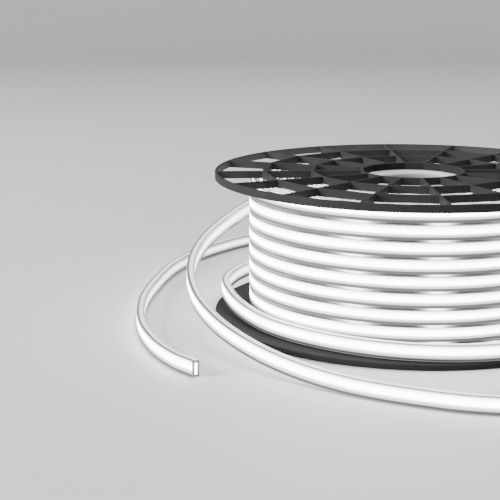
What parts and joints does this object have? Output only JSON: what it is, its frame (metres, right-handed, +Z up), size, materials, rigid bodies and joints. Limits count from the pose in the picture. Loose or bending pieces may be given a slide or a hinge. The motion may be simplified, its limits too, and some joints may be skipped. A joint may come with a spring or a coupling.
{
  "type": "cob led strip light reel",
  "caption": "Flat-lying plastic reel with an openwork upper flange, wound with flat jacketed LED strip that stands on edge, with a slack turn and a loose cut tail.",
  "frame": {"origin": "centre of the lower flange's underside, on the reel's axis", "axes": "+Z up along the reel's axis; the loose tail's cut end lies towards -X and -Y"},
  "size_m": [0.4187, 0.4652, 0.0968],
  "materials": {
    "reel_plastic": "fine matt moulded dark grey plastic",
    "core_plastic": "smooth white plastic tube",
    "strip_jacket": "smooth translucent milky strip jacket, lit from inside",
    "light_core": "white light core, lit"
  },
  "bodies": {
    "root": {"reel_upper_flange": "reel_plastic", "reel_lower_flange": "reel_plastic", "reel_core": "core_plastic", "strip_coil": "strip_jacket", "strip_slack_turn": "strip_jacket", "strip_tail_jacket": "strip_jacket", "strip_tail_light_core": "light_core"}
  },
  "joints": []
}
